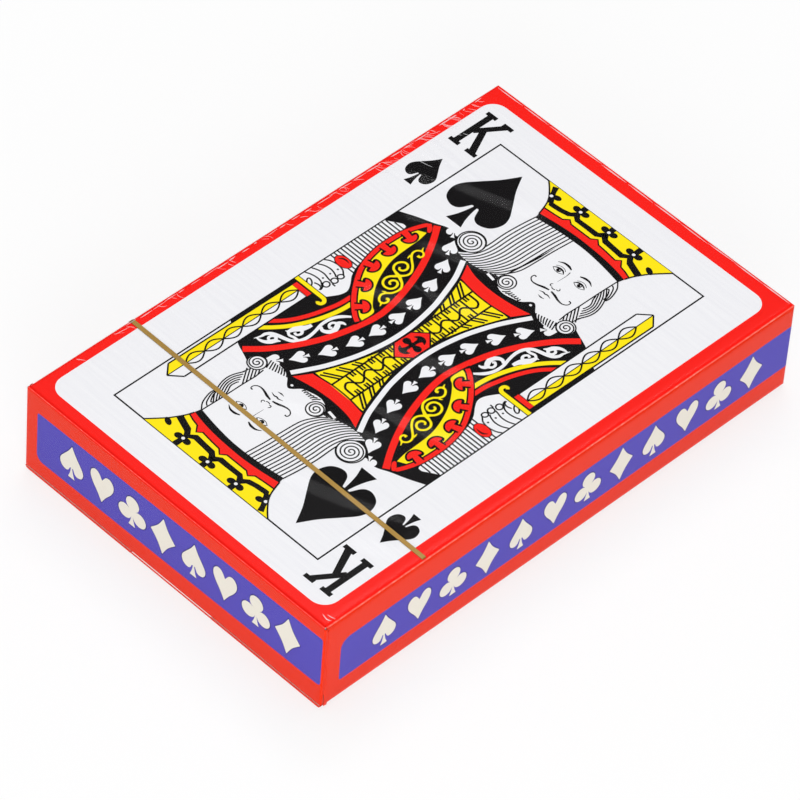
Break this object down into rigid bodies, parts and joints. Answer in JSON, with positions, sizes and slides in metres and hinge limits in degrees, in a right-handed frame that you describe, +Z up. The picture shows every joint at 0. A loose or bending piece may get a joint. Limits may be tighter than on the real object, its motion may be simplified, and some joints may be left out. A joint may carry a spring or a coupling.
{
  "type": "playing card deck",
  "caption": "Boxed deck of bridge-size playing cards in a folded tuck-end carton with a court-card front, wrapped in clear film with a gold tear tape.",
  "frame": {"origin": "middle of the footprint, on the surface that the pack lies on", "axes": "+X across the cards to the right of the printed front, +Y along the pack from the tuck end to the glued base, +Z up through the printed front"},
  "size_m": [0.059, 0.0908, 0.0164],
  "materials": {
    "card_stock": "coated, smooth",
    "carton_board": "printed and varnished, satin",
    "clear_film": "clear, glossy",
    "gold_tape": "metallised, glossy"
  },
  "bodies": {
    "carton": {"carton": "carton_board", "ace_of_spades": "card_stock", "two_of_spades": "card_stock", "three_of_spades": "card_stock", "four_of_spades": "card_stock", "five_of_spades": "card_stock", "six_of_spades": "card_stock", "seven_of_spades": "card_stock", "eight_of_spades": "card_stock", "nine_of_spades": "card_stock", "ten_of_spades": "card_stock", "jack_of_spades": "card_stock", "queen_of_spades": "card_stock", "king_of_spades": "card_stock", "ace_of_diamonds": "card_stock", "two_of_diamonds": "card_stock", "three_of_diamonds": "card_stock", "four_of_diamonds": "card_stock", "five_of_diamonds": "card_stock", "six_of_diamonds": "card_stock", "seven_of_diamonds": "card_stock", "eight_of_diamonds": "card_stock", "nine_of_diamonds": "card_stock", "ten_of_diamonds": "card_stock", "jack_of_diamonds": "card_stock", "queen_of_diamonds": "card_stock", "king_of_diamonds": "card_stock", "ace_of_clubs": "card_stock", "two_of_clubs": "card_stock", "three_of_clubs": "card_stock", "four_of_clubs": "card_stock", "five_of_clubs": "card_stock", "six_of_clubs": "card_stock", "seven_of_clubs": "card_stock", "eight_of_clubs": "card_stock", "nine_of_clubs": "card_stock", "ten_of_clubs": "card_stock", "jack_of_clubs": "card_stock", "queen_of_clubs": "card_stock", "king_of_clubs": "card_stock", "ace_of_hearts": "card_stock", "two_of_hearts": "card_stock", "three_of_hearts": "card_stock", "four_of_hearts": "card_stock", "five_of_hearts": "card_stock", "six_of_hearts": "card_stock", "seven_of_hearts": "card_stock", "eight_of_hearts": "card_stock", "nine_of_hearts": "card_stock", "ten_of_hearts": "card_stock", "jack_of_hearts": "card_stock", "queen_of_hearts": "card_stock", "king_of_hearts": "card_stock", "jokers": "card_stock"},
    "lid": {"lid_panel": "carton_board"},
    "tab": {"tuck_tab": "carton_board"},
    "left_flap": {"dust_flap_left": "carton_board"},
    "right_flap": {"dust_flap_right": "carton_board"},
    "film": {"film_wrap": "clear_film", "tear_tape": "gold_tape"}
  },
  "joints": [
    {"name": "lid_hinge", "type": "hinge", "parent": "carton", "child": "lid", "pos_m": [0, -0.04517, 0.01601], "axis": [-1, 0, 0], "range_deg": [0, 140]},
    {"name": "tab_crease", "type": "hinge", "parent": "lid", "child": "tab", "pos_m": [0, -0.04517, 0.0011], "axis": [-1, 0, 0], "range_deg": [-70, 0]},
    {"name": "left_flap_crease", "type": "hinge", "parent": "carton", "child": "left_flap", "pos_m": [-0.02915, -0.04467, 0.00881], "axis": [0, 0, -1], "range_deg": [0, 42]},
    {"name": "right_flap_crease", "type": "hinge", "parent": "carton", "child": "right_flap", "pos_m": [0.02915, -0.04467, 0.00881], "axis": [0, 0, 1], "range_deg": [0, 42]},
    {"name": "film_slide", "type": "slide", "parent": "carton", "child": "film", "axis": [0, 1, 0], "range_m": [0, 0.095]}
  ],
  "couplings": [
    {"joint": "tab_crease", "follows": "lid_hinge", "ratio": -0.5},
    {"joint": "left_flap_crease", "follows": "lid_hinge", "ratio": 0.3},
    {"joint": "right_flap_crease", "follows": "lid_hinge", "ratio": 0.3}
  ]
}
